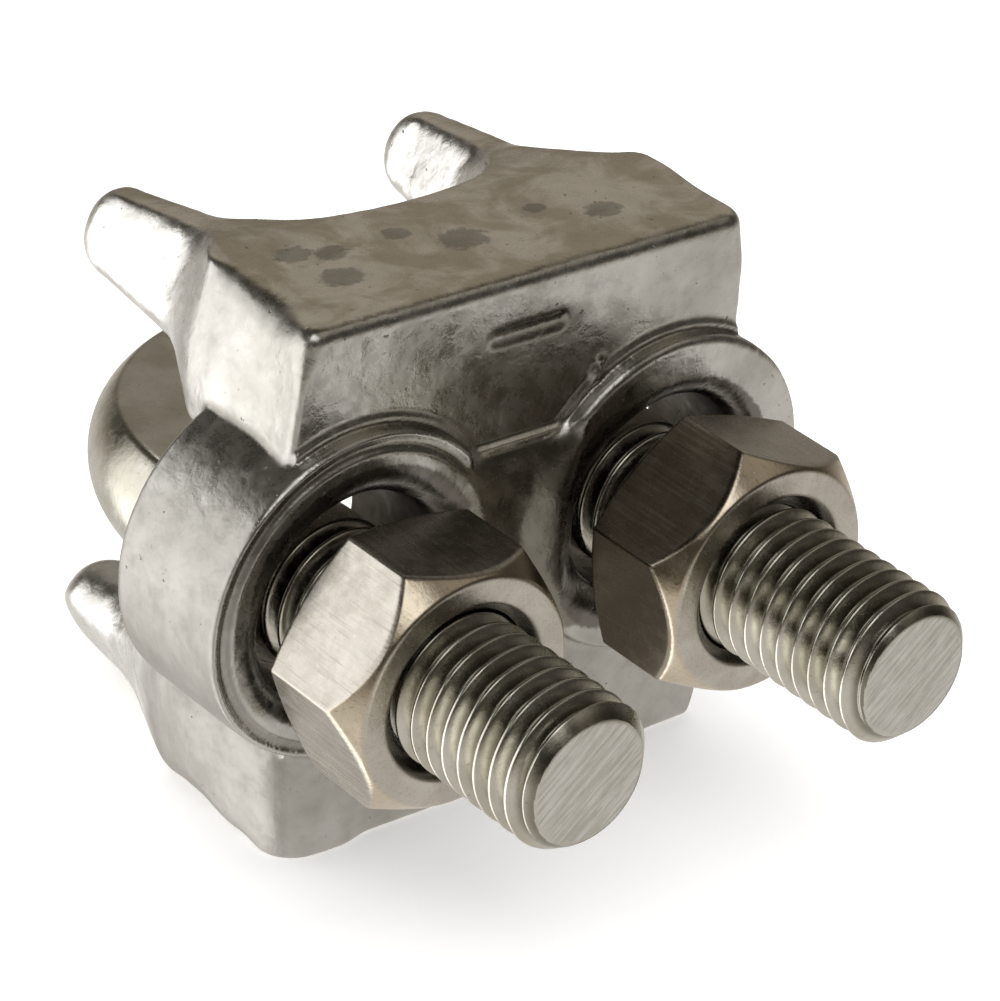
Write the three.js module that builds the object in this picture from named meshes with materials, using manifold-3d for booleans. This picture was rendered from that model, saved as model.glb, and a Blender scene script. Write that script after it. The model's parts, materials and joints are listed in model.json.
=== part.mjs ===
// Wire rope clip for 14 mm rope: a cast saddle, a threaded U-bolt and two hexagon nuts.
// Millimetres, +Z up. The legs run along Y with their ends at -Y and the bend at +Y, and the rope runs along Z.
// The origin is the bottom centre of the whole clip's box, on the lower end face of the saddle.

import * as THREE from "three";
import { mergeVertices } from "three/addons/utils/BufferGeometryUtils.js";
import Module from "manifold-3d";

const wasm = await Module();
wasm.setup();

// ---- Driving dimensions. Depths are measured along Y from the end of the left leg. ----

const LEG_X = 17.3; // each leg axis from the middle plane
const RIGHT_LEG_EXTRA = 1.8; // the right leg is longer than the left one
const THREAD_RADIUS = 7.0; // M14
const THREAD_PITCH = 2.0;
const THREAD_DEPTH = 1.23;
const THREAD_END = 35; // the thread runs out inside the saddle's holes
const THREAD_CREST_FLAT = THREAD_PITCH / 8;
const LEG_END_CHAMFER = 1.3;
const LEFT_THREAD_PHASE = 1.27; // depth of a crest at angle 0, which is straight out along +X
const RIGHT_THREAD_PHASE = 0.86;

const BEND_DEPTH = 52.4; // centre of the half-round bend
const BEND_HALF_THICKNESS = 5.4; // the bend is pressed a little flat along the rope
const BEND_DROP = 0.3;

const NUT_ACROSS_FLATS = 22;
const NUT_HEIGHT = 11;
const LEFT_NUT_DEPTH = 15.8; // front face of each nut
const RIGHT_NUT_DEPTH = 16.4;
const LEFT_NUT_TURN = -4.0; // degrees that a corner stands above +X
const RIGHT_NUT_TURN = -17.4;
const NUT_FRONT_RING = 10.6; // radius where the front chamfer starts
const NUT_FRONT_CHAMFER = 2.7;
const NUT_BACK_RING = 10.8;
const NUT_BACK_CHAMFER = 0.9;
const NUT_COUNTERSINK = 8.2; // mouth radius
const NUT_THREAD_RADIUS = 6.1; // crests of the nut's own thread
const THREAD_GAP = 0.2; // running clearance between the two threads

const SADDLE_LIFT = 1.2; // the saddle's middle plane above the leg axes: the U-bolt hangs in its oversize holes
const SADDLE_HALF_HEIGHT = 26;
const SADDLE_FRONT = 32;
// Each side of the block from the middle plane. The left side draws in more towards the rope seat than the right.
const SADDLE_LEFT = { frontWidth: 24.4, backWidth: 22.3, backDepth: 48.5 };
const SADDLE_RIGHT = { frontWidth: 25.4, backWidth: 24.8, backDepth: 47 };
const BOSS_RADIUS = 15.5;
const BOSS_FRONT = 30.1;
const BOSS_BACK = 44.4;
const BOSS_RISE = 0.6; // the bosses stand this much above the holes through them
const BOSS_ROUNDING = 0.8;
const HOLE_RADIUS = 9.6;
const HOLE_MOUTH_RADIUS = 12.3;
const HOLE_MOUTH_DEPTH = 2.6;
const WEB_FRONT = 30.4; // the web that joins the two bosses, proud of the block as they are
const WEB_BACK = 43.5;
const WEB_HALF_HEIGHT = 10.2; // where its shoulders meet the block
const WEB_FLAT_HALF_HEIGHT = 7.6;
const POCKET_HALF_HEIGHT = 10; // the open space behind the web and the bosses
const SEAT_BOTTOM = 49.2; // bottom of the rope seat
const SEAT_RADIUS = 35;
const SEAT_HALF_WIDTH = 13;
const HORN_ROOT = { x: 15.4, depth: 45, height: 18.7, radius: 7.3 }; // height is from the saddle's middle plane
const HORN_TIP = { x: 16.8, depth: 65.8, height: 18.9, radius: 4.4 };
const HORN_FLAT_START = 48; // depth where the end faces start to slope down along the horns
const HORN_FLAT_TIP = 23.2; // height of the flat strip at the tip

const SLIVER_SIZE = 0.004; // edges left shorter than this by cuts are merged away
const ROUND_STEPS = 48;
const THREAD_STEPS = 18; // facets in one turn of a thread
const ARC_STEPS = 12;
const DOME_STEPS = 4; // rings round the end of a horn

// ---- Solids and geometries ----

function solidOf(geometry) {
  const plain = geometry.index ? geometry.toNonIndexed() : geometry.clone();
  plain.deleteAttribute("normal");
  plain.deleteAttribute("uv");
  const merged = mergeVertices(plain, 1e-4);
  return new wasm.Manifold(
    new wasm.Mesh({
      numProp: 3,
      vertProperties: merged.attributes.position.array,
      triVerts: new Uint32Array(merged.index.array),
    }),
  );
}

function geometryOf(solid) {
  const mesh = solid.asOriginal().simplify(SLIVER_SIZE).getMesh();
  const geometry = new THREE.BufferGeometry();
  geometry.setAttribute("position", new THREE.BufferAttribute(mesh.vertProperties, 3));
  geometry.setIndex(new THREE.BufferAttribute(mesh.triVerts, 1));
  return geometry;
}

// A solid turned about the Y axis through (x, z), from [radius, depth] points listed with rising depth.
function turned(profile, x, z) {
  const points = profile.map(([radius, depth]) => new THREE.Vector2(radius, depth));
  return solidOf(new THREE.LatheGeometry(points, ROUND_STEPS).translate(x, 0, z));
}

// A shape in the XY plane, extruded along Z between two heights.
function extrudedUp(shape, bottom, top) {
  const geometry = new THREE.ExtrudeGeometry(shape, {
    depth: top - bottom,
    bevelEnabled: false,
    curveSegments: ARC_STEPS,
  });
  return solidOf(geometry.translate(0, 0, bottom));
}

// A shape in the YZ plane, extruded along X to both sides of the middle plane.
function extrudedAcross(shape, halfWidth) {
  const geometry = new THREE.ExtrudeGeometry(shape, {
    depth: 2 * halfWidth,
    bevelEnabled: false,
    curveSegments: ARC_STEPS,
  });
  geometry.translate(0, 0, -halfWidth);
  const acrossX = new THREE.Matrix4().makeBasis(
    new THREE.Vector3(0, 1, 0),
    new THREE.Vector3(0, 0, 1),
    new THREE.Vector3(1, 0, 0),
  );
  return solidOf(geometry.applyMatrix4(acrossX));
}

function block(x0, x1, y0, y1, z0, z1) {
  const geometry = new THREE.BoxGeometry(x1 - x0, y1 - y0, z1 - z0);
  return solidOf(geometry.translate((x0 + x1) / 2, (y0 + y1) / 2, (z0 + z1) / 2));
}

// One closed skin over a run of rings, each with the same number of points, with a fan over each end. The points
// of a ring go round clockwise when they are seen from the next ring.
function skinned(rings) {
  const count = rings[0].length;
  const corners = [];
  const centre = (ring) =>
    ring.reduce((sum, point) => sum.add(point), new THREE.Vector3()).divideScalar(count);
  const first = centre(rings[0]);
  const last = centre(rings.at(-1));
  for (let i = 0; i < count; i++) {
    const next = (i + 1) % count;
    corners.push(first, rings[0][i], rings[0][next]);
    corners.push(last, rings.at(-1)[next], rings.at(-1)[i]);
    for (let k = 0; k + 1 < rings.length; k++) {
      const [a, b] = [rings[k], rings[k + 1]];
      corners.push(a[i], b[next], a[next]);
      corners.push(a[i], b[i], b[next]);
    }
  }
  return solidOf(new THREE.BufferGeometry().setFromPoints(corners));
}

// A rod with a right-hand thread along Y, centred on (x, z). crest is the depth of a crest at angle 0, flat is
// the width of the crest, and the flanks stand at 30 degrees to the radius.
function threadedRod(x, z, crest, start, end, crestRadius, rootRadius, flat) {
  const flank = (crestRadius - rootRadius) * Math.tan(Math.PI / 6);
  const root = THREAD_PITCH - flat - 2 * flank;
  const profile = [
    [rootRadius, -flat / 2 - flank - root],
    [rootRadius, -flat / 2 - flank],
    [crestRadius, -flat / 2],
    [crestRadius, flat / 2],
    [rootRadius, flat / 2 + flank],
  ];
  const firstTurn = Math.floor((start - crest) / THREAD_PITCH) - 1;
  const turns = Math.ceil((end - start) / THREAD_PITCH) + 3;
  const at = (step, [radius, offset]) => {
    const angle = (2 * Math.PI * step) / THREAD_STEPS;
    const depth = crest + THREAD_PITCH * (firstTurn + step / THREAD_STEPS) + offset;
    return new THREE.Vector3(x + radius * Math.cos(angle), depth, z - radius * Math.sin(angle));
  };
  const corners = [];
  const steps = turns * THREAD_STEPS;
  for (let step = 0; step < steps; step++) {
    for (let j = 0; j + 1 < profile.length; j++) {
      const [a, b] = [at(step, profile[j]), at(step, profile[j + 1])];
      const [c, d] = [at(step + 1, profile[j]), at(step + 1, profile[j + 1])];
      corners.push(a, c, b, b, c, d);
    }
  }
  // The two ends are fans from the axis over one turn of the helix and the step in the profile.
  const tail = new THREE.Vector3(x, at(0, profile[0]).y - THREAD_PITCH, z);
  const head = new THREE.Vector3(x, at(steps, profile.at(-1)).y + THREAD_PITCH, z);
  for (let step = 0; step < THREAD_STEPS; step++) {
    corners.push(tail, at(step + 1, profile[0]), at(step, profile[0]));
    const behind = steps - THREAD_STEPS + step;
    corners.push(head, at(behind, profile.at(-1)), at(behind + 1, profile.at(-1)));
  }
  for (let j = 0; j + 1 < profile.length; j++) {
    corners.push(tail, at(0, profile[j]), at(0, profile[j + 1]));
    corners.push(head, at(steps, profile[j + 1]), at(steps, profile[j]));
  }
  return solidOf(new THREE.BufferGeometry().setFromPoints(corners));
}

// ---- U-bolt: two threaded legs and the bend, one bar ----

function threadedLeg(x, end, phase) {
  const rootRadius = THREAD_RADIUS - THREAD_DEPTH;
  const rod = threadedRod(
    x, 0, phase, end, THREAD_END, THREAD_RADIUS, rootRadius, THREAD_CREST_FLAT,
  );
  const envelope = turned(
    [
      [0, end],
      [THREAD_RADIUS - LEG_END_CHAMFER, end],
      [THREAD_RADIUS + 0.5, end + LEG_END_CHAMFER + 0.5],
      [THREAD_RADIUS + 0.5, THREAD_END],
      [0, THREAD_END],
    ],
    x, 0,
  );
  return rod.intersect(envelope);
}

function bentBar() {
  const rings = [];
  const sectionSteps = 24;
  const bendSteps = 28;
  const legSteps = 5;
  const section = (centre, outward, thickness, drop) => {
    const ring = [];
    for (let i = 0; i < sectionSteps; i++) {
      const angle = (2 * Math.PI * i) / sectionSteps;
      const point = centre.clone().addScaledVector(outward, THREAD_RADIUS * Math.cos(angle));
      const height = THREAD_RADIUS * Math.sin(angle);
      point.z += THREE.MathUtils.clamp(height, -thickness, thickness) - drop;
      ring.push(point);
    }
    return ring;
  };
  // The round shank eases into the flattened bend along the last stretch of each leg.
  const shank = (side, share) => {
    const depth = THREAD_END - 0.5 + (BEND_DEPTH - THREAD_END + 0.5) * share;
    const ease = share * share * (3 - 2 * share);
    const thickness = THREAD_RADIUS + (BEND_HALF_THICKNESS - THREAD_RADIUS) * ease;
    return section(
      new THREE.Vector3(side * LEG_X, depth, 0),
      new THREE.Vector3(side, 0, 0),
      thickness,
      BEND_DROP * ease,
    );
  };
  for (let k = 0; k < legSteps; k++) rings.push(shank(1, k / legSteps));
  for (let k = 0; k <= bendSteps; k++) {
    const turn = (Math.PI * k) / bendSteps;
    const outward = new THREE.Vector3(Math.cos(turn), Math.sin(turn), 0);
    const centre = outward.clone().multiplyScalar(LEG_X).add(new THREE.Vector3(0, BEND_DEPTH, 0));
    rings.push(section(centre, outward, BEND_HALF_THICKNESS, BEND_DROP));
  }
  for (let k = legSteps - 1; k >= 0; k--) rings.push(shank(-1, k / legSteps));
  return skinned(rings);
}

function uBolt() {
  return bentBar()
    .add(threadedLeg(-LEG_X, 0, LEFT_THREAD_PHASE))
    .add(threadedLeg(LEG_X, -RIGHT_LEG_EXTRA, RIGHT_THREAD_PHASE));
}

// ---- Hexagon nut: chamfered at both faces, countersunk and threaded ----

function hexNut(x, front, turn, phase) {
  const back = front + NUT_HEIGHT;
  const corner = NUT_ACROSS_FLATS / Math.sqrt(3);
  const outline = new THREE.Shape();
  for (let i = 0; i < 6; i++) {
    const angle = THREE.MathUtils.degToRad(turn + 60 * i);
    const [u, v] = [corner * Math.cos(angle), corner * Math.sin(angle)];
    if (i === 0) outline.moveTo(u, v);
    else outline.lineTo(u, v);
  }
  outline.closePath();
  const prism = new THREE.ExtrudeGeometry(outline, { depth: NUT_HEIGHT, bevelEnabled: false });
  prism.rotateX(Math.PI / 2).translate(x, back, 0);
  const beyond = corner + 0.5;
  const frontSlope = NUT_FRONT_CHAMFER / (corner - NUT_FRONT_RING);
  const backSlope = NUT_BACK_CHAMFER / (corner - NUT_BACK_RING);
  const envelope = turned(
    [
      [0, front],
      [NUT_FRONT_RING, front],
      [beyond, front + frontSlope * (beyond - NUT_FRONT_RING)],
      [beyond, back - backSlope * (beyond - NUT_BACK_RING)],
      [NUT_BACK_RING, back],
      [0, back],
    ],
    x, 0,
  );
  const crestFlat = THREAD_CREST_FLAT + 2 * THREAD_GAP * Math.tan(Math.PI / 6);
  const thread = threadedRod(
    x, 0, phase, front - 1, back + 1,
    THREAD_RADIUS + THREAD_GAP, NUT_THREAD_RADIUS, crestFlat,
  );
  const sink = NUT_COUNTERSINK - NUT_THREAD_RADIUS;
  const frontSink = turned(
    [[0, front - 1], [NUT_COUNTERSINK + 1, front - 1], [NUT_THREAD_RADIUS, front + sink], [0, front + sink]],
    x, 0,
  );
  const backSink = turned(
    [[0, back - sink], [NUT_THREAD_RADIUS, back - sink], [NUT_COUNTERSINK + 1, back + 1], [0, back + 1]],
    x, 0,
  );
  return solidOf(prism).intersect(envelope).subtract(thread).subtract(frontSink).subtract(backSink);
}

// ---- Saddle: one casting with two bosses, a web, the rope seat and four horns ----

// The casting seen along the rope: a block whose back is the shallow rope seat.
function planOutline() {
  const seatCentre = SEAT_BOTTOM + SEAT_RADIUS;
  const reach = Math.asin(SEAT_HALF_WIDTH / SEAT_RADIUS);
  const outline = new THREE.Shape();
  outline.moveTo(-SADDLE_LEFT.frontWidth, SADDLE_FRONT);
  outline.lineTo(SADDLE_RIGHT.frontWidth, SADDLE_FRONT);
  outline.lineTo(SADDLE_RIGHT.backWidth, SADDLE_RIGHT.backDepth);
  outline.absarc(0, seatCentre, SEAT_RADIUS, reach - Math.PI / 2, -reach - Math.PI / 2, true);
  outline.lineTo(-SADDLE_LEFT.backWidth, SADDLE_LEFT.backDepth);
  outline.closePath();
  return outline;
}

// The casting seen from the side: square ends that slope down along the horns.
function sideOutline() {
  const end = HORN_TIP.depth + HORN_TIP.radius + 1;
  const slope = (SADDLE_HALF_HEIGHT - HORN_FLAT_TIP) / (HORN_TIP.depth - HORN_FLAT_START);
  const endHeight = SADDLE_HALF_HEIGHT - slope * (end - HORN_FLAT_START);
  const outline = new THREE.Shape();
  outline.moveTo(SADDLE_FRONT, -SADDLE_HALF_HEIGHT);
  outline.lineTo(HORN_FLAT_START, -SADDLE_HALF_HEIGHT);
  outline.lineTo(end, -endHeight);
  outline.lineTo(end, endHeight);
  outline.lineTo(HORN_FLAT_START, SADDLE_HALF_HEIGHT);
  outline.lineTo(SADDLE_FRONT, SADDLE_HALF_HEIGHT);
  outline.closePath();
  return outline;
}

// A round horn that tapers to a domed tip. side and end are 1 or -1.
function horn(side, end) {
  const ring = (middle, depth, radius) => {
    const points = [];
    for (let i = 0; i < 2 * ARC_STEPS; i++) {
      const angle = (Math.PI * i) / ARC_STEPS;
      const x = side * middle.x + radius * Math.cos(angle);
      const z = end * middle.height + radius * Math.sin(angle);
      points.push(new THREE.Vector3(x, depth, z));
    }
    return points;
  };
  const rings = [ring(HORN_ROOT, HORN_ROOT.depth, HORN_ROOT.radius)];
  for (let k = 0; k < DOME_STEPS; k++) {
    const turn = (Math.PI * k) / (2 * DOME_STEPS);
    const depth = HORN_TIP.depth + HORN_TIP.radius * Math.sin(turn);
    rings.push(ring(HORN_TIP, depth, HORN_TIP.radius * Math.cos(turn)));
  }
  return skinned(rings);
}

// The front of the web, with a sloping shoulder above and below.
function webFront() {
  const outline = new THREE.Shape();
  outline.moveTo(SADDLE_FRONT + 1, -WEB_HALF_HEIGHT);
  outline.lineTo(SADDLE_FRONT + 1, WEB_HALF_HEIGHT);
  outline.lineTo(SADDLE_FRONT, WEB_HALF_HEIGHT);
  outline.lineTo(WEB_FRONT, WEB_FLAT_HALF_HEIGHT);
  outline.lineTo(WEB_FRONT, -WEB_FLAT_HALF_HEIGHT);
  outline.lineTo(SADDLE_FRONT, -WEB_HALF_HEIGHT);
  outline.closePath();
  return extrudedAcross(outline, LEG_X);
}

function boss(x) {
  return turned(
    [
      [0, BOSS_FRONT],
      [BOSS_RADIUS - BOSS_ROUNDING, BOSS_FRONT],
      [BOSS_RADIUS, BOSS_FRONT + BOSS_ROUNDING],
      [BOSS_RADIUS, BOSS_BACK - BOSS_ROUNDING],
      [BOSS_RADIUS - BOSS_ROUNDING, BOSS_BACK],
      [0, BOSS_BACK],
    ],
    x, BOSS_RISE,
  );
}

function legHole(x) {
  const past = 1;
  return turned(
    [
      [0, BOSS_FRONT - past],
      [HOLE_MOUTH_RADIUS, BOSS_FRONT - past],
      [HOLE_MOUTH_RADIUS, BOSS_FRONT],
      [HOLE_RADIUS, BOSS_FRONT + HOLE_MOUTH_DEPTH],
      [HOLE_RADIUS, BOSS_BACK + past],
      [0, BOSS_BACK + past],
    ],
    x, 0,
  );
}

function saddle() {
  const seatBlock = extrudedUp(planOutline(), -SADDLE_HALF_HEIGHT, SADDLE_HALF_HEIGHT);
  const backPocket = block(
    -SADDLE_LEFT.frontWidth - 1, SADDLE_RIGHT.frontWidth + 1,
    WEB_BACK, SEAT_BOTTOM + SEAT_RADIUS,
    -POCKET_HALF_HEIGHT, POCKET_HALF_HEIGHT,
  );
  let casting = seatBlock.subtract(backPocket);
  for (const side of [-1, 1]) {
    for (const end of [-1, 1]) casting = casting.add(horn(side, end));
  }
  const reach = HORN_TIP.x + HORN_ROOT.radius + 1;
  return casting
    .intersect(extrudedAcross(sideOutline(), reach))
    .add(webFront())
    .add(boss(-LEG_X))
    .add(boss(LEG_X))
    .subtract(legHole(-LEG_X))
    .subtract(legHole(LEG_X))
    .translate([0, 0, SADDLE_LIFT]);
}

// ---- The clip ----

function piece(name, solid, colour, roughness) {
  const material = new THREE.MeshStandardMaterial({ color: colour, roughness, metalness: 1.0 });
  const mesh = new THREE.Mesh(geometryOf(solid), material);
  mesh.name = name;
  return mesh;
}

const clip = new THREE.Group();
clip.add(
  piece("saddle", saddle(), 0xb9b4aa, 0.38),
  piece("u_bolt", uBolt(), 0xbdb6a4, 0.24),
  piece("nut_left", hexNut(-LEG_X, LEFT_NUT_DEPTH, LEFT_NUT_TURN, LEFT_THREAD_PHASE), 0x9a8d7d, 0.26),
  piece("nut_right", hexNut(LEG_X, RIGHT_NUT_DEPTH, RIGHT_NUT_TURN, RIGHT_THREAD_PHASE), 0x9a8d7d, 0.26),
);

// From the left leg's end on the leg axes to the bottom centre of the clip's box.
const bendOutside = BEND_DEPTH + LEG_X + THREAD_RADIUS;
const middleDepth = (bendOutside - RIGHT_LEG_EXTRA) / 2;
const axisHeight = SADDLE_HALF_HEIGHT - SADDLE_LIFT;
clip.position.set(0, -middleDepth, axisHeight);

export default clip;
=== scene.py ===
"""Wire rope clip: cast saddle, threaded U-bolt and two hexagon nuts, on a pale studio floor."""
import json
import math

import bmesh
import bpy
import numpy as np
from mathutils import Matrix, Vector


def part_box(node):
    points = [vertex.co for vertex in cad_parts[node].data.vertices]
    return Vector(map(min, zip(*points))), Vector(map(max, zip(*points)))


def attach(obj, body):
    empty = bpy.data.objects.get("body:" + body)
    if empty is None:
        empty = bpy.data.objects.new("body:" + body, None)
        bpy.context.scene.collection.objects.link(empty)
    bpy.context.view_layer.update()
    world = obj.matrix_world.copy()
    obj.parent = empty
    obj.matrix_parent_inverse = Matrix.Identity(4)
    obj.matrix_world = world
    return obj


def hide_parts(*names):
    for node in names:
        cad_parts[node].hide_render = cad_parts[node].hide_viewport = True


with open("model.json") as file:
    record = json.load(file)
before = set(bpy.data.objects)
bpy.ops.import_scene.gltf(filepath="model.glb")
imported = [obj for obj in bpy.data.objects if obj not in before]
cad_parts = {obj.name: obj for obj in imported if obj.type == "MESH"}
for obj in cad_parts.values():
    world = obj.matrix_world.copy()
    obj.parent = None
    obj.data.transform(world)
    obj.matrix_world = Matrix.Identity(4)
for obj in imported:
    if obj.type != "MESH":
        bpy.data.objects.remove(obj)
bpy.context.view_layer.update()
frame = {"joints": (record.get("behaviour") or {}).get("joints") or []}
JOINTS = {joint["name"]: joint for joint in frame["joints"]}
MM = 0.001


def box_mm(node):
    """The low and high corners of a CAD node's box, in millimetres."""
    low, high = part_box(node)
    return np.array(low) / MM, np.array(high) / MM


# ---- Dimensions in millimetres ----

# X is across the legs, depth is along Y from the left leg's end, and height is along Z from the leg axes.
SADDLE_LOW, SADDLE_HIGH = box_mm("saddle")
BOLT_LOW, BOLT_HIGH = box_mm("u_bolt")
NUT_FRONT = {side: box_mm("nut_" + side)[0][1] for side in ("left", "right")}
NUT_BACK = {side: box_mm("nut_" + side)[1][1] for side in ("left", "right")}
LEG_X = JOINTS["nut_right_spin"]["pos_m"][0] / MM
LEG_Z = JOINTS["nut_right_spin"]["pos_m"][2] / MM
SIDE_X = {"left": -LEG_X, "right": LEG_X}
# The U-bolt: thread, legs and bend.
PITCH = 2.0
THREAD_RADIUS = BOLT_HIGH[0] - LEG_X
RIGHT_LEG_EXTRA = 1.8
DEPTH_ZERO = BOLT_LOW[1] + RIGHT_LEG_EXTRA
# Depth at which a thread crest crosses the +X side of each leg.
CREST = {"left": 1.27, "right": 0.86}
THREAD_END = 35.0
THREAD_DEPTH = 1.23
BEND_DEPTH = 52.4
BEND_HALF_THICKNESS = 5.4
BEND_DROP = 0.3
LEG_END_RADIUS = 5.7

# The casting.
SADDLE_Z = (SADDLE_LOW[2] + SADDLE_HIGH[2]) / 2
HALF_HEIGHT = (SADDLE_HIGH[2] - SADDLE_LOW[2]) / 2
BOSS_RADIUS = SADDLE_HIGH[0] - LEG_X
BOSS_FRONT = SADDLE_LOW[1] - DEPTH_ZERO
BOSS_BACK = 44.4
BOSS_RISE = 0.6
GROOVE_FROM_AXIS = 14.3
HOLE_BACK_ROUNDING = 0.8
# Each side of the block: (half width at the front, growth per mm of drop, drawing in per mm of depth, depth
# of its back edge). The left side draws in more than the right one.
LEFT_SIDE = (23.8, 0.08, 0.125, 48.5)
RIGHT_SIDE = (25.2, 0.03, 0.02, 46.8)
BLOCK_FRONT = 32.0
HOLE_RADIUS = 9.6
HOLE_ROUNDING = 2.7
WEB_FRONT = 30.35
WEB_BACK = 43.5
WEB_HALF_HEIGHT = 10.2
WEB_FLAT_HALF_HEIGHT = 7.4
LIP_HALF_WIDTH = 6.6
POCKET_HALF_HEIGHT = 10.0
SEAT_BOTTOM = 49.2
SEAT_RADIUS = 35.0
SEAT_HALF_WIDTH = 13.0
# Ends of a horn's middle line: (x, depth, height, radius).
HORN_ROOT = (15.4, 45.0, 18.7, 7.3)
HORN_TIP = (16.8, 65.8, 18.9, 4.4)
HORN_FLAT_START = 48.0
HORN_FLAT_TIP = 23.2
HORN_FLANK = math.radians(27)
HORN_SLOPE = (HALF_HEIGHT - HORN_FLAT_TIP) / (HORN_TIP[1] - HORN_FLAT_START)
STRIP_HALF_WIDTH = 2.6
STRIP_TAPER = 1.2
# Radii of the casting's edges and fillets.
FRONT_EDGE = 1.0
SEAT_EDGE = 1.3
POCKET_EDGE = 2.2
HORN_EDGE = 0.8
HORN_FILLET = 6.0
WEB_EDGE = 1.4
WEB_FILLET = 0.35
BOSS_EDGE = 0.9
BOSS_FILLET = 0.45

# The nuts: distance from the axis to a flat, then radii on the faces and in the bore.
NUT_FLAT = 11.0
NUT_FACE_RADIUS = 10.6
NUT_BACK_RADIUS = 10.8
NUT_GROOVE_RADIUS = 7.2
NUT_THREAD_DEPTH = 1.1
NUT_SINK_RADIUS = 8.25
NUT_GRID_REACH = 13.2
NUT_TURN = {"left": -4.0, "right": -17.4}
# How much painted shade lies on each flat of a nut, going round from the flat at its right.
FLAT_SHADE_TONES = {"left": (0.2, 0.2, 0.0, 0.3, 0.4, 0.3), "right": (0.0, 0.0, 0.7, 0.92, 0.4, 0.3)}

# Marks on the casting. A plain shallow slot on the upper front face, in place of the size mark: (left, right,
# height, radius), and how far its round bottom's centre stands off, as a share of the radius.
SLOT = (-3.2, 3.8, 20.6, 1.4)
SLOT_STAND_OFF = 0.75
# Small casting lumps beside the bosses: (x, height, radius).
LUMPS = ((7.0, 11.9, 0.45), (8.6, 14.3, 0.8), (9.1, 15.4, 0.5))
# Dark heat stains on the upper end face: (x, depth, radius).
STAINS = ((-15.5, 44.9, 1.5), (-12.5, 43.6, 1.3), (-14.4, 39.6, 1.7), (-0.7, 40.3, 1.9),
          (-5.4, 43.9, 1.1), (13.8, 38.9, 1.5), (8.5, 42.0, 0.9))


# ---- Distance fields: negative inside, in millimetres ----

def round_max(a, b, radius):
    """Overlap of two solids, with the edge between them rounded."""
    corner = np.hypot(np.maximum(a + radius, 0), np.maximum(b + radius, 0))
    return np.minimum(-radius, np.maximum(a, b)) + corner


def round_min(a, b, radius):
    """Two solids joined, with a fillet between them."""
    corner = np.hypot(np.maximum(radius - a, 0), np.maximum(radius - b, 0))
    return np.maximum(radius, np.minimum(a, b)) - corner


def ease(low, high, value):
    """0 at low, 1 at high and beyond, smooth between; low may be the larger one."""
    share = np.clip((value - low) / (high - low), 0, 1)
    return share * share * (3 - 2 * share)


def tapered_bar(x, y, z, start, end):
    """A round bar between two (x, depth, z, radius) ends, both domed."""
    a = np.array(start[:3])
    axis = np.array(end[:3]) - a
    length2 = float(axis @ axis)
    share = ((x - a[0]) * axis[0] + (y - a[1]) * axis[1] + (z - a[2]) * axis[2]) / length2
    share = np.clip(share, 0, 1)
    dx, dy, dz = x - a[0] - share * axis[0], y - a[1] - share * axis[1], z - a[2] - share * axis[2]
    return np.sqrt(dx * dx + dy * dy + dz * dz) - (start[3] + (end[3] - start[3]) * share)


def block(x, y, z, sides, width, back, soft):
    """The block with its rope seat, open between the bosses and under the seat."""
    ax, az = np.abs(x), np.abs(z)
    # The front edges round off more towards the end faces, and most in the soft corner.
    near_end = ease(20, 26, np.where(z < 0, az - 3, az))
    body = round_max(sides, BLOCK_FRONT - y, FRONT_EDGE + 1.5 * near_end + 1.8 * soft)
    seat = SEAT_RADIUS - np.hypot(x, y - SEAT_BOTTOM - SEAT_RADIUS)
    seat_edge = SEAT_BOTTOM + SEAT_RADIUS - math.sqrt(SEAT_RADIUS ** 2 - SEAT_HALF_WIDTH ** 2)
    fall = (seat_edge - back) / (width - 0.5 - SEAT_HALF_WIDTH)
    shoulder = (y - seat_edge + fall * (ax - SEAT_HALF_WIDTH)) / np.hypot(1, fall)
    body = round_max(body, np.maximum(seat, shoulder), SEAT_EDGE)
    between = np.maximum(az - POCKET_HALF_HEIGHT, ax - LEG_X)
    behind = np.maximum(WEB_BACK - y, az - POCKET_HALF_HEIGHT)
    return np.maximum(round_max(body, -behind, POCKET_EDGE), -between)


def horn(ax, y, az):
    """A tapered bar with steep flanks below a narrow flat strip."""
    share = np.clip((y - HORN_ROOT[1]) / (HORN_TIP[1] - HORN_ROOT[1]), 0, 1)
    from_axis = np.abs(ax - HORN_ROOT[0] - share * (HORN_TIP[0] - HORN_ROOT[0]))
    strip = HALF_HEIGHT - HORN_SLOPE * np.maximum(y - HORN_FLAT_START, 0)
    from_strip = from_axis - STRIP_HALF_WIDTH + STRIP_TAPER * share
    flanks = from_strip * math.cos(HORN_FLANK) + (az - strip) * math.sin(HORN_FLANK)
    return round_max(tapered_bar(ax, y, az, HORN_ROOT, HORN_TIP), flanks, HORN_EDGE)


def cut_end_faces(body, x, y, z, soft):
    """Flat ends that slope down along the horns; their edges are rounder at the sides than at the front."""
    ax, az = np.abs(x), np.abs(z)
    sloped = (az - HALF_HEIGHT + HORN_SLOPE * (y - HORN_FLAT_START)) / math.hypot(1, HORN_SLOPE)
    ends = round_max(az - HALF_HEIGHT, sloped, 0.5)
    side_edge = ease(-16, -21, x) * ease(BLOCK_FRONT + 1, BLOCK_FRONT + 6, y) * ease(50, 45, y)
    edge = 0.4 + 1.0 * ease(44, 38, y) * ease(-20, 0, z) + 1.6 * side_edge
    edge = edge + 2.0 * soft * ease(17, 22, ax) * ease(38, 44, y)
    return round_max(body, ends, edge)


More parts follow.
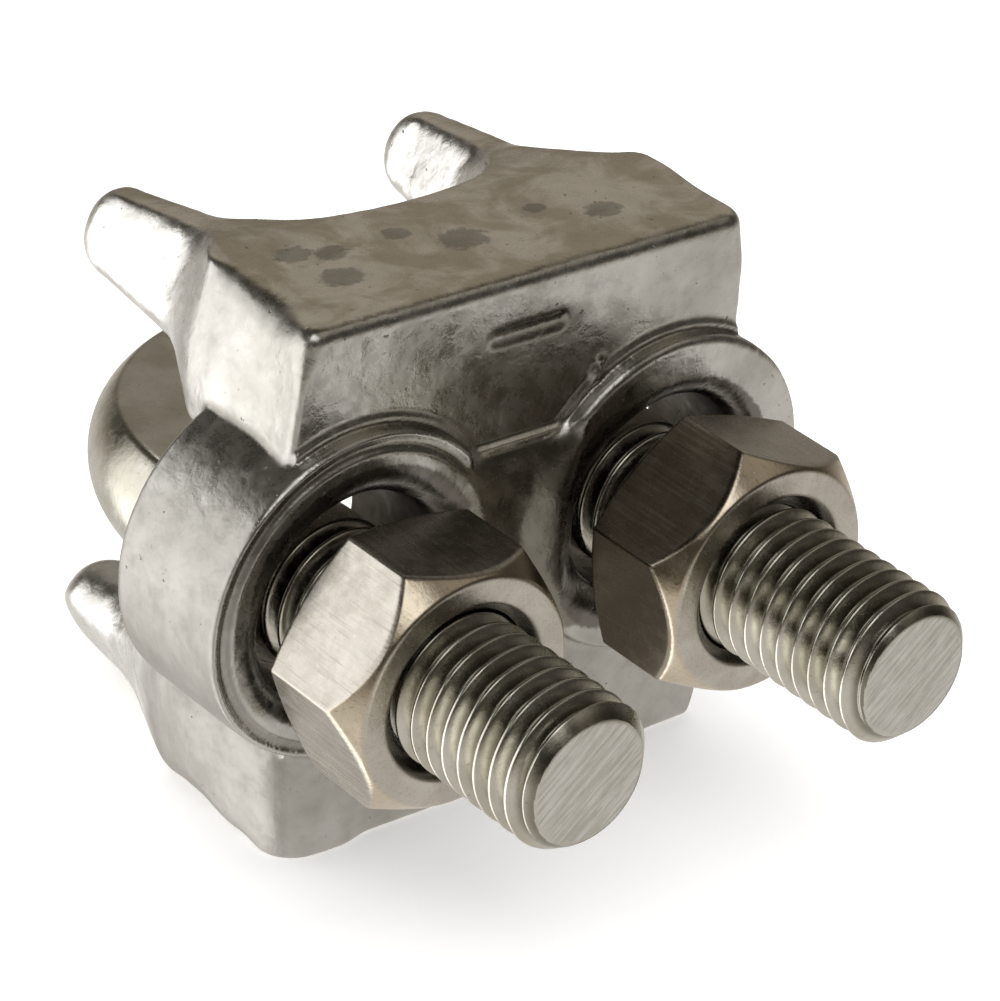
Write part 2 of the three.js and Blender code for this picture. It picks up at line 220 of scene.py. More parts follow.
def web(ax, y, az):
    """The plate that joins the bosses, as proud as they are; above and below it slopes back to the block."""
    run = (WEB_HALF_HEIGHT - WEB_FLAT_HALF_HEIGHT) / (BLOCK_FRONT - WEB_FRONT)
    shoulders = (az - WEB_HALF_HEIGHT + run * np.maximum(BLOCK_FRONT - y, 0)) / math.hypot(1, run)
    plate = round_max(WEB_FRONT - y, shoulders, WEB_EDGE)
    return np.maximum(np.maximum(plate, y - WEB_BACK), ax - LEG_X)


def add_bosses(body, x, y, z, sides):
    """The bosses round the leg holes, with a thin seam outside and a groove inside their rims."""
    ax, az = np.abs(x), np.abs(z)
    dx = ax - LEG_X
    from_boss = np.hypot(dx, z - BOSS_RISE)
    # The rim is rounder towards the web, and sharper on the far side.
    inner = ease(8.5, 4.5, ax) * ease(11.5, 9, az)
    outer = ease(8, 13, dx)
    boss = round_max(from_boss - BOSS_RADIUS, BOSS_FRONT - y, BOSS_EDGE + 1.8 * inner - 0.4 * outer)
    groove_radius = 0.6 * (1 - inner) * ease(4, -6, x)
    groove = np.hypot(from_boss - GROOVE_FROM_AXIS, y - BOSS_FRONT + 0.1) - groove_radius
    boss = round_max(boss, -groove, 0.25)
    boss = round_max(boss, y - BOSS_BACK, 1.0)
    body = round_min(body, boss, BOSS_FILLET + 2.0 * inner)
    seam = np.hypot(from_boss - BOSS_RADIUS - 0.4, y - BLOCK_FRONT) - 0.33
    seam = np.maximum(np.maximum(seam, sides + 0.5), WEB_HALF_HEIGHT - az)
    return round_min(body, seam, 0.3)


def web_lip(ax, y, az):
    """A thin raised lip where the web meets the block."""
    lip = np.hypot(az - WEB_HALF_HEIGHT + 0.1, y - BLOCK_FRONT + 0.15) - 0.42
    return np.maximum(lip, ax - LIP_HALF_WIDTH)


def cut_holes(body, ax, y, z):
    """The leg holes, with wide mouths in front, widest beside the web, and small ones behind."""
    dx = ax - LEG_X
    rounding = HOLE_ROUNDING + 1.2 * ease(-2, -9, dx) * ease(9, 4, np.abs(z))
    rounding = rounding + (HOLE_BACK_ROUNDING - rounding) * ease(37, 40, y)
    return round_max(body, HOLE_RADIUS - np.hypot(dx, z), rounding)


def marking_slot(x, y, z):
    """A round-bottomed groove with round ends, cut straight into the front face."""
    left, right, height, radius = SLOT
    beside = x - np.clip(x, left, right)
    ahead = y - BLOCK_FRONT + radius * SLOT_STAND_OFF
    return np.sqrt(beside ** 2 + (z - height) ** 2 + ahead ** 2) - radius


def saddle_field(x, y, z):
    """The whole casting; X and Z are from its middle, and Y from the end of the left leg."""
    ax, az = np.abs(x), np.abs(z)
    width, growth, lean, back = (np.where(x < 0, left, right) for left, right in zip(LEFT_SIDE, RIGHT_SIDE))
    # The lower left corner is narrower and far rounder than the rest, and the lower right one is wider.
    soft = ease(-7, -15, z) * ease(-10, -16, x)
    full = ease(-9, -17, z) * ease(8, 16, x)
    sides = ax - width + 1.3 * soft - 1.1 * full - growth * (HALF_HEIGHT - az) + lean * (y - BLOCK_FRONT)
    body = block(x, y, z, sides, width, back, soft)
    body = round_min(body, horn(ax, y, az), HORN_FILLET + 6.0 * soft)
    body = cut_end_faces(body, x, y, z, soft)
    body = round_min(body, web(ax, y, az), WEB_FILLET)
    body = add_bosses(body, x, y, z, sides)
    body = round_min(body, web_lip(ax, y, az), 0.2)
    body = cut_holes(body, ax, y, z)
    body = round_max(body, -marking_slot(x, y, z), 0.2)
    for px, pz, radius in LUMPS:
        lump = np.sqrt((x - px) ** 2 + (z - pz) ** 2 + (y - BLOCK_FRONT - radius * 0.3) ** 2) - radius
        body = round_min(body, lump, 0.3)
    return body


def nut_field(side):
    """A hexagon nut about its own axis: coned front, eased back, countersunk threaded bore."""
    front = NUT_FRONT[side] - DEPTH_ZERO
    back = NUT_BACK[side] - DEPTH_ZERO
    turn = math.radians(NUT_TURN[side])
    corner = 2 * NUT_FLAT / math.sqrt(3)
    front_slope = 2.7 / (corner - NUT_FACE_RADIUS)
    back_slope = 0.9 / (corner - NUT_BACK_RADIUS)

    def field(x, y, z):
        radius = np.hypot(x, z)
        angle = np.arctan2(z, x)
        wedge = np.mod(angle - turn, math.pi / 3) - math.pi / 6
        hexagon = radius * np.cos(wedge) - NUT_FLAT
        past = radius * np.abs(np.sin(wedge)) - NUT_FLAT * math.tan(math.pi / 6)
        hexagon = np.maximum(hexagon, past * 0.5 + hexagon * math.cos(math.pi / 6))
        cone = (front - y + front_slope * (radius - NUT_FACE_RADIUS)) / math.hypot(1, front_slope)
        rear = (y - back + back_slope * (radius - NUT_BACK_RADIUS)) / math.hypot(1, back_slope)
        body = round_max(hexagon, cone, 0.22)
        body = round_max(body, rear, 0.15)
        body = round_max(body, front - y, 0.2)
        body = round_max(body, y - back, 0.2)
        turns = (y - CREST[side]) / PITCH + angle / (2 * math.pi)
        from_crest = np.abs(np.mod(turns + 0.5, 1) - 0.5) * PITCH
        groove = NUT_GROOVE_RADIUS - np.clip((from_crest - 0.24) * math.sqrt(3), 0, NUT_THREAD_DEPTH)
        bore = (groove - radius) * 0.55
        sink_front = (NUT_SINK_RADIUS - (y - front) - radius) * math.sqrt(0.5)
        sink_back = (NUT_SINK_RADIUS - (back - y) - radius) * math.sqrt(0.5)
        bore = np.maximum(bore, np.maximum(sink_front, sink_back))
        return round_max(body, bore, 0.12)

    return field


# ---- Meshes ----

def gradient(field, points, reach=0.02):
    """The field's slope at each point, which points out of the solid."""
    out = np.empty_like(points)
    for axis in range(3):
        step = np.zeros(3)
        step[axis] = reach
        ahead, behind = points + step, points - step
        out[:, axis] = (field(*ahead.T) - field(*behind.T)) / (2 * reach)
    return out


def onto_surface(field, points, rounds=3):
    """Points moved along the field's slope until they lie on the surface."""
    for _ in range(rounds):
        slope = gradient(field, points)
        size2 = np.maximum((slope * slope).sum(1), 0.05)
        points = points - slope * np.clip(field(*points.T) / size2, -0.4, 0.4)[:, None]
    return points


def skin(field, low, high, step, relax=3):
    """Quads over a distance field: one point in each grid cell that the surface crosses."""
    low = np.array(low, float)
    counts = np.ceil((np.array(high) - low) / step).astype(int) + 1
    xs, ys, zs = (low[i] + step * np.arange(counts[i]) for i in range(3))
    inside = np.empty(counts, bool)
    for i in range(0, counts[0], 16):
        gx, gy, gz = np.meshgrid(xs[i:i + 16], ys, zs, indexing="ij")
        inside[i:i + 16] = field(gx, gy, gz) < 0
    corners = [inside[a:counts[0] - 1 + a, b:counts[1] - 1 + b, c:counts[2] - 1 + c]
               for a in (0, 1) for b in (0, 1) for c in (0, 1)]
    active = np.logical_or.reduce(corners) & ~np.logical_and.reduce(corners)
    index = np.full(active.shape, -1)
    cells = np.argwhere(active)
    index[active] = np.arange(len(cells))
    points = low + (cells + 0.5) * step
    quads = []
    for axis in range(3):
        other = [a for a in range(3) if a != axis]
        here = inside.take(range(counts[axis] - 1), axis)
        there = inside.take(range(1, counts[axis]), axis)
        for leaving in (True, False):
            crossing = np.argwhere((here != there) & (here == leaving))
            keep = (crossing[:, other[0]] > 0) & (crossing[:, other[1]] > 0)
            crossing = crossing[keep]
            ring = []
            for a, b in ((0, 0), (1, 0), (1, 1), (0, 1)):
                cell = crossing.copy()
                cell[:, other[0]] -= a
                cell[:, other[1]] -= b
                ring.append(index[tuple(cell.T)])
            quad = np.stack(ring, 1)
            flip = leaving == (axis == 1)
            quads.append(quad[:, ::-1] if flip else quad)
    quads = np.concatenate(quads)
    links = np.concatenate([quads[:, [i, (i + 1) % 4]] for i in range(4)])
    links = np.concatenate([links, links[:, ::-1]])
    points = onto_surface(field, points)
    for _ in range(relax):
        near = np.zeros_like(points)
        count = np.bincount(links[:, 0], minlength=len(points)).astype(float)
        for axis in range(3):
            near[:, axis] = np.bincount(links[:, 0], points[links[:, 1], axis], len(points))
        points = onto_surface(field, points + 0.6 * (near / count[:, None] - points), 2)
    return points, quads


def to_mesh(name, points, faces, offset):
    """A smooth-shaded object from points in millimetres, moved by offset into the frame."""
    mesh = bpy.data.meshes.new(name)
    mesh.from_pydata(((points + offset) * MM).tolist(), [], faces.tolist())
    mesh.validate()
    mesh.polygons.foreach_set("use_smooth", np.ones(len(mesh.polygons), bool))
    piece = bpy.data.objects.new(name, mesh)
    bpy.context.scene.collection.objects.link(piece)
    return piece


def add_value(piece, name, values):
    attribute = piece.data.attributes.new(name, "FLOAT", "POINT")
    attribute.data.foreach_set("value", values.astype(np.float32))


def lattice_noise(points, size, seed):
    """Smooth noise between -1 and 1, with bumps about size millimetres across."""
    place = points / size + 1000
    cell = np.floor(place).astype(np.int64)
    share = place - cell
    share = share * share * (3 - 2 * share)
    total = np.zeros(len(points))
    for a in (0, 1):
        for b in (0, 1):
            for c in (0, 1):
                key = (cell[:, 0] + a) * 73856093 ^ (cell[:, 1] + b) * 19349663 ^ (cell[:, 2] + c) * 83492791
                key = (key + seed * 2654435761) & 0xFFFFFFFF
                key = ((key ^ (key >> 15)) * 2246822519) & 0xFFFFFFFF
                key = ((key ^ (key >> 13)) * 3266489917) & 0xFFFFFFFF
                value = ((key ^ (key >> 16)) & 0xFFFF) / 32767.5 - 1
                weight = (np.where(a, share[:, 0], 1 - share[:, 0])
                          * np.where(b, share[:, 1], 1 - share[:, 1])
                          * np.where(c, share[:, 2], 1 - share[:, 2]))
                total += weight * value
    return total


def bend_of(field, points, reach=0.9):
    """How convex (positive) or hollow (negative) the surface is at each point."""
    around = 0
    for sign in (1, -1):
        for axis in range(3):
            step = np.zeros(3)
            step[axis] = sign * reach
            around = around + field(*(points + step).T)
    return around / (6 * reach)


def build_saddle():
    step = 0.3
    low = (-LEG_X - BOSS_RADIUS - 1, BOSS_FRONT - 1, -HALF_HEIGHT - 1)
    high = (LEG_X + BOSS_RADIUS + 1, HORN_TIP[1] + HORN_TIP[3] + 1, HALF_HEIGHT + 1)
    points, quads = skin(saddle_field, low, high, step)
    normal = gradient(saddle_field, points)
    normal /= np.linalg.norm(normal, axis=1, keepdims=True)
    curve = bend_of(saddle_field, points)
    wave = 0.07 * lattice_noise(points, 7.0, 1) + 0.035 * lattice_noise(points, 2.8, 2)
    rough = ease(-0.1, 0.5, lattice_noise(points, 9.0, 4))
    wave += (0.008 + 0.02 * rough) * lattice_noise(points, 1.0, 3)
    # Drawn in a little, so that the waves stay inside the CAD box.
    points = points + normal * (wave - 0.09)[:, None]
    piece = to_mesh("saddle_casting", points, quads, np.array((0, DEPTH_ZERO, SADDLE_Z)))
    add_value(piece, "convex", curve)
    for name, mask in saddle_masks(points, normal):
        add_value(piece, name, mask)
    return piece


def saddle_masks(points, normal):
    """Where each look of the casting lies, as (attribute, value at each point)."""
    x, y, z = points.T
    across = np.hypot(np.abs(x) - LEG_X, z)
    yield ("end_face", ease(0.75, 0.97, np.abs(normal[:, 2])) * ease(15, 17, np.abs(z)))
    # Painted shade inside the leg holes, out to their mouths.
    mouth = HOLE_RADIUS + HOLE_ROUNDING - 0.2 + 1.5 * ease(14, 8, x) * ease(2, 6, x)
    mouth = mouth + 0.9 * ease(2, 8, z) * (x < 0)
    yield ("bore", (mouth - across) * ease(BOSS_FRONT - 0.5, BOSS_FRONT, y))
    stained = np.zeros(len(points))
    for px, py, radius in STAINS:
        away = np.hypot((x - px) * 0.75, y - py) / radius
        stained = np.maximum(stained, 1.4 - away)
    yield ("stain", stained * (z > 20))
    # Painted shade on the web between the bosses and on parts of the boss rims beside it.
    on_web = ease(10.4, 9.6, np.abs(z)) * ease(-14, -6, x) * ease(9.5, 8, x)
    on_web = on_web * (0.85 + 0.15 * ease(-2, 4, x)) * (1 - 0.3 * ease(7, 9, z))
    on_boss = ease(BOSS_RADIUS, BOSS_RADIUS - 0.8, across)
    on_right_boss = on_boss * ease(18, 9, x) * ease(3, 5, x) * ease(-6, 1, z)
    on_left_boss = 0.7 * on_boss * ease(-13, -9, x) * (x < -4) * ease(3, 6, z)
    shaded = np.maximum(np.maximum(on_web, on_left_boss), on_right_boss)
    yield ("recess_shade", shaded * ease(WEB_FRONT + 4, WEB_FRONT + 2, y))
    # Painted shade on the lower front and on faces turned to the left; the same places are also made rougher.
    lower_front = 0.45 * ease(-9, -14, z) * ease(0.5, 0.9, -normal[:, 1])
    left_side = (0.35 + 0.65 * ease(14, -2, z)) * ease(0.3, 0.8, -normal[:, 0])
    yield ("shaded_dull_side", np.maximum(lower_front, left_side) * ease(56, 47, y))
    # Painted reflection: the horns are made paler and even.
    yield ("horn", ease(49, 53, y))
    # A painted highlight along the lip where the web meets the block.
    at_lip = np.hypot(np.abs(z) - WEB_HALF_HEIGHT + 0.1, y - BLOCK_FRONT + 0.4)
    at_lip = at_lip * (1 + ease(5.8, 7.5, np.abs(x - 0.8)))
    yield ("lip", ease(0.75, 0.35, at_lip) * (np.abs(x) < 9))
    front = ease(0.6, 0.95, -normal[:, 1])
    patch = np.hypot((x - 1.0) * 0.75, z - 14.5) + 2.5 * lattice_noise(points, 4.0, 8)
    yield ("patina", front * ease(11.0, 4.0, patch))


def build_nut(side):
    step = 0.17
    field = nut_field(side)
    front = NUT_FRONT[side] - DEPTH_ZERO
    back = NUT_BACK[side] - DEPTH_ZERO
    low = (-NUT_GRID_REACH, front - 0.6, -NUT_GRID_REACH)
    high = (NUT_GRID_REACH, back + 0.6, NUT_GRID_REACH)
    points, quads = skin(field, low, high, step, 2)
    piece = to_mesh("hex_nut_" + side, points, quads, np.array((SIDE_X[side], DEPTH_ZERO, LEG_Z)))
    normal = gradient(field, points)
    add_value(piece, "convex", bend_of(field, points, 0.35))
    x, y, z = points.T
    radius = np.hypot(x, z)
    normal /= np.linalg.norm(normal, axis=1, keepdims=True)
    add_value(piece, "cone", ease(0.35, 0.5, -normal[:, 1]) * ease(0.95, 0.8, -normal[:, 1]) * (radius > 9.5))
    add_value(piece, "inside", ease(8.5, 7.9, radius))
    # Painted shade on the flats, one tone for each flat.
    sector = np.floor(np.mod(np.arctan2(z, x) - math.radians(NUT_TURN[side]), 2 * math.pi) / (math.pi / 3))
    flat_shades = np.array(FLAT_SHADE_TONES[side])[np.clip(sector, 0, 5).astype(int)]
    add_value(piece, "tone", flat_shades * ease(0.45, 0.3, np.abs(normal[:, 1])) * (radius > 9.5))
    return piece


# Points round the bar, rows in one turn of its thread, rings on a leg end, and sections of the straight part
# and of the bend.
BAR_COLUMNS = 96
ROWS_IN_PITCH = 22
CAP_RINGS = 14
STRAIGHT_SECTIONS = 25
BEND_SECTIONS = 97
SPIN = 2 * math.pi * np.arange(BAR_COLUMNS) / BAR_COLUMNS


def thread_profile(from_crest):
    """Radius of the thread at a distance along the leg from the middle of a crest, with worn corners."""
    total = 0
    for shift in np.linspace(-0.09, 0.09, 7):
        away = np.abs(np.mod(from_crest + shift + PITCH / 2, PITCH) - PITCH / 2)
        total = total + np.clip((away - 0.15) * math.sqrt(3), 0, THREAD_DEPTH)
    return THREAD_RADIUS - total / 7


def threaded_leg(side, end, crest):
    """Points, depth of the groove at each one, and quads; a row's last column meets the row one pitch on."""
    hand = -side
    dy = PITCH / ROWS_IN_PITCH
    first_row = math.floor((end - PITCH - 0.2) / dy)
    last_row = math.ceil((THREAD_END + PITCH + 0.2) / dy)
    rows = np.arange(first_row, last_row + 1)
    helix = hand * PITCH * SPIN / (2 * math.pi)
    y = rows[:, None] * dy + helix[None, :]
    # Angle about the leg axis, from +X towards +Z, sets where the crest is.
    theta = SPIN if side > 0 else math.pi - SPIN
    from_crest = y - crest + PITCH * theta[None, :] / (2 * math.pi)
    fade = ease(THREAD_END - 1.2, THREAD_END - 0.2, y)
    radius = thread_profile(from_crest) * (1 - fade) + THREAD_RADIUS * fade
    depth = np.clip(y, end, THREAD_END)
    radius = np.minimum(radius, LEG_END_RADIUS + (depth - end))
    radius = np.where(y <= end, LEG_END_RADIUS, radius)
    radius = np.where(y >= THREAD_END, THREAD_RADIUS, radius)
    hollow = np.where((y > end) & (y < THREAD_END), (THREAD_RADIUS - radius) / THREAD_DEPTH, 0)
    points = np.stack([side * (LEG_X + radius * np.cos(SPIN)), depth, radius * np.sin(SPIN)], -1)
    count = len(rows)
    grid = np.arange(count * BAR_COLUMNS).reshape(count, BAR_COLUMNS)
    along = np.stack([grid[:-1, :-1], grid[:-1, 1:], grid[1:, 1:], grid[1:, :-1]], -1).reshape(-1, 4)
    jump = hand * ROWS_IN_PITCH
    low, high = max(0, -jump), min(count - 1, count - 1 - jump)
    last, first = grid[:, -1], grid[:, 0]
    across = np.stack([last[low:high], first[low + jump:high + jump],
                       first[low + jump + 1:high + jump + 1], last[low + 1:high + 1]], -1)
    quads = np.concatenate([along, across])
    return points.reshape(-1, 3), hollow.ravel(), quads[:, ::-1] if side > 0 else quads


def ring_quads(rings):
    """Quads between closed rings of points, one ring after another."""
    grid = np.arange(rings * BAR_COLUMNS).reshape(rings, BAR_COLUMNS)
    turned = np.roll(grid, -1, axis=1)
    return np.stack([grid[:-1], turned[:-1], turned[1:], grid[1:]], -1).reshape(-1, 4)


def leg_cap(side, end):
    """Rings across a leg end, down to a small one in the middle."""
    rings = [np.stack([side * (LEG_X + r * np.cos(SPIN)), np.full(BAR_COLUMNS, end), r * np.sin(SPIN)], -1)
             for r in np.linspace(LEG_END_RADIUS, 0.15, CAP_RINGS)]
    quads = ring_quads(CAP_RINGS)
    return np.concatenate(rings), quads if side > 0 else quads[:, ::-1]


def bar_path():
    """Sections of the plain bar from the right leg to the left: (centre, outward, half thickness, drop)."""
    right = []
    for share in np.linspace(0, 1, STRAIGHT_SECTIONS + 1)[:-1]:
        pressed = ease(0, 1, share)
        depth = THREAD_END + (BEND_DEPTH - THREAD_END) * share
        thickness = THREAD_RADIUS + (BEND_HALF_THICKNESS - THREAD_RADIUS) * pressed
        right.append(((LEG_X, depth), (1, 0), thickness, BEND_DROP * pressed))
    bend = []
    for turn in np.linspace(0, math.pi, BEND_SECTIONS):
        outward = (math.cos(turn), math.sin(turn))
        centre = (LEG_X * outward[0], BEND_DEPTH + LEG_X * outward[1])
        bend.append((centre, outward, BEND_HALF_THICKNESS, BEND_DROP))
    left = [((-x, depth), (-1, 0), thickness, drop) for (x, depth), _, thickness, drop in reversed(right)]
    return right + bend + left


def bar_section(centre, outward, thickness, drop):
    """One section of the bar: a circle pressed flat above and below to the given half thickness."""
    place = np.zeros((BAR_COLUMNS, 3))
    place[:, :2] = np.array(centre) + np.outer(np.cos(SPIN), outward) * THREAD_RADIUS
    height = THREAD_RADIUS * np.sin(SPIN)
    over = np.maximum(np.abs(height) - thickness + 0.25, 0)
    soft = np.where(over < 0.5, over - over * over, 0.25)
    place[:, 2] = np.sign(height) * (np.abs(height) - over + soft) - drop
    return place


def weld(piece, open_rings):
    """Close the middle of each leg end, and join the threads, caps and bar into one closed surface."""
    work = bmesh.new()
    work.from_mesh(piece.data)
    work.verts.ensure_lookup_table()
    for start in open_rings:
        work.faces.new([work.verts[start + i] for i in range(BAR_COLUMNS)])
    bmesh.ops.remove_doubles(work, verts=work.verts, dist=0.004 * MM)
    bmesh.ops.dissolve_degenerate(work, edges=work.edges, dist=0.002 * MM)
    bmesh.ops.recalc_face_normals(work, faces=work.faces)
    for face in work.faces:
        face.smooth = True
    work.to_mesh(piece.data)
    work.free()


def build_bolt():
    points, faces, hollows, open_rings = [], [], [], []

    def add(new_points, new_faces):
        faces.append(new_faces + sum(len(p) for p in points))
        points.append(new_points)

    legs = ((-1, 0.0, CREST["left"]), (1, -RIGHT_LEG_EXTRA, CREST["right"]))
    for side, end, crest in legs:
        leg_points, hollow, leg_faces = threaded_leg(side, end, crest)
        hollows.append(hollow)
        add(leg_points, leg_faces)
    for side, end, _ in legs:
        add(*leg_cap(side, end))
        open_rings.append(sum(len(p) for p in points) - BAR_COLUMNS)
    sections = [bar_section(*section) for section in bar_path()]
    add(np.concatenate(sections), ring_quads(len(sections))[:, ::-1])
    points = np.concatenate(points)
    piece = to_mesh("u_bolt_bar", points, np.concatenate(faces), np.array((0, DEPTH_ZERO, LEG_Z)))
    hollows = np.concatenate(hollows)
    add_value(piece, "groove", np.concatenate((hollows, np.zeros(len(points) - len(hollows)))))
    ends = np.where(points[:, 0] < 0, 0.0, -RIGHT_LEG_EXTRA)
    from_axis = np.hypot(np.abs(points[:, 0]) - LEG_X, points[:, 2])
    sawn = ease(LEG_END_RADIUS + 0.05, LEG_END_RADIUS - 0.3, from_axis)
    add_value(piece, "cut_end", (points[:, 1] < ends + 0.01) * sawn)
    weld(piece, open_rings)
    return piece


# ---- Materials ----

# Colours of the bare metal, its oxides and its worn places, and of painted shade, highlights and reflections.
CAST_DULL = (0.5, 0.49, 0.455)
CAST_PALE = (0.65, 0.64, 0.615)
CAST_MOTTLE = (0.42, 0.395, 0.355)
END_BROWN = (0.66, 0.61, 0.5)
END_TAN = (0.96, 0.92, 0.83)
HEAT_STAIN = (0.2, 0.19, 0.175)
WORN_EDGE = (0.82, 0.8, 0.77)
CORNER_OXIDE = (0.2, 0.175, 0.135)
# Painted shade between the bosses.
RECESS_SHADE = (0.2, 0.185, 0.15)
# Painted shade on the lower front and the left side.
SIDE_SHADE = (0.3, 0.287, 0.265)
# Painted reflection on the horns.
PAINTED_HORN_REFLECTION = (0.88, 0.875, 0.86)
PATINA = (0.2, 0.185, 0.155)
# Painted highlight along the lip.
LIP_HIGHLIGHT = (0.88, 0.86, 0.8)
# Painted shade down the leg holes.
BORE_SHADE = (0.14, 0.125, 0.11)
PIT_OXIDE = (0.14, 0.12, 0.1)
BAR_DULL = (0.52, 0.5, 0.43)
BAR_PALE = (0.66, 0.64, 0.58)
THREAD_OXIDE = (0.17, 0.155, 0.12)
SPECK = (0.2, 0.17, 0.13)
SAWN_DULL = (0.52, 0.51, 0.47)
SAWN_PALE = (0.73, 0.72, 0.69)
NUT_DULL = (0.52, 0.485, 0.43)
NUT_PALE = (0.62, 0.59, 0.545)
# Painted shade on the nut flats.
FLAT_SHADE = (0.13, 0.108, 0.08)
CONE_BRONZE = (0.64, 0.55, 0.42)
STREAK = (0.2, 0.165, 0.13)
WORN_CORNER = (0.85, 0.78, 0.66)
NUT_BORE = (0.1, 0.09, 0.075)


class Nodes:
    """A short way to write a node tree."""

    def __init__(self, tree):
        self.tree = tree

    def new(self, kind, **settings):
        node = self.tree.nodes.new(kind)
        for key, value in settings.items():
            setattr(node, key, value)
        return node

    def link(self, out, into):
        if isinstance(out, (int, float, tuple)):
            into.default_value = out
        else:
            self.tree.links.new(out, into)

    def ramp(self, value, low, high, out_low=0.0, out_high=1.0):
        node = self.new("ShaderNodeMapRange", interpolation_type="SMOOTHSTEP")
        self.link(value, node.inputs["Value"])
        for name, number in zip(("From Min", "From Max", "To Min", "To Max"), (low, high, out_low, out_high)):
            node.inputs[name].default_value = number
        return node.outputs["Result"]

    def math(self, kind, a, b=0.0, c=0.0):
        node = self.new("ShaderNodeMath", operation=kind)
        for value, socket in zip((a, b, c), node.inputs):
            self.link(value, socket)
        return node.outputs[0]

    def mix(self, share, a, b):
        node = self.new("ShaderNodeMix", data_type="RGBA")
        self.link(share, node.inputs["Factor"])
        for value, socket in ((a, node.inputs[6]), (b, node.inputs[7])):
            self.link(value + (1.0,) if isinstance(value, tuple) else value, socket)
        return node.outputs[2]


class Material(Nodes):
    """A new material on the Principled shader."""

    def __init__(self, name):
        self.material = bpy.data.materials.new(name)
        self.material.use_nodes = True
        super().__init__(self.material.node_tree)
        self.shader = self.tree.nodes["Principled BSDF"]
        self.coords = self.tree.nodes.new("ShaderNodeTexCoord").outputs["Object"]

    def noise(self, size, detail=4, rough=0.55, stretch=(1, 1, 1), warp=0.0, turn=0.0):
        """Noise with features about size millimetres across, turned about Y by an angle in degrees."""
        mapping = self.new("ShaderNodeMapping", vector_type="TEXTURE")
        mapping.inputs["Rotation"].default_value = (0, math.radians(turn), 0)
        mapping.inputs["Scale"].default_value = [size * MM / s for s in stretch]
        self.link(self.coords, mapping.inputs["Vector"])
        node = self.new("ShaderNodeTexNoise")
        node.inputs["Scale"].default_value = 1
        node.inputs["Detail"].default_value = detail
        node.inputs["Roughness"].default_value = rough
        node.inputs["Distortion"].default_value = warp
        self.link(mapping.outputs[0], node.inputs["Vector"])
        return node.outputs["Fac"]

    def cover(self, colour, mask, strength, over):
        """A colour laid over another where the mask is 1, as far as its strength allows."""
        return self.mix(self.math("MULTIPLY", mask, strength), colour, over)

    def value(self, name):
        return self.new("ShaderNodeAttribute", attribute_name=name).outputs["Fac"]

    def bump(self, height, depth, below=None):
        """A bump of the given depth in millimetres."""
        node = self.new("ShaderNodeBump")
        node.inputs["Strength"].default_value = 1.0
        node.inputs["Distance"].default_value = depth * MM
        self.link(height, node.inputs["Height"])
        if below is not None:
            self.link(below, node.inputs["Normal"])
        return node.outputs[0]

    def finish(self, colour, roughness, normal):
        """The material as a metal of this colour."""
        self.link(colour, self.shader.inputs["Base Color"])
        self.link(roughness, self.shader.inputs["Roughness"])
        self.shader.inputs["Metallic"].default_value = 1.0
        self.link(normal, self.shader.inputs["Normal"])
        return self.material


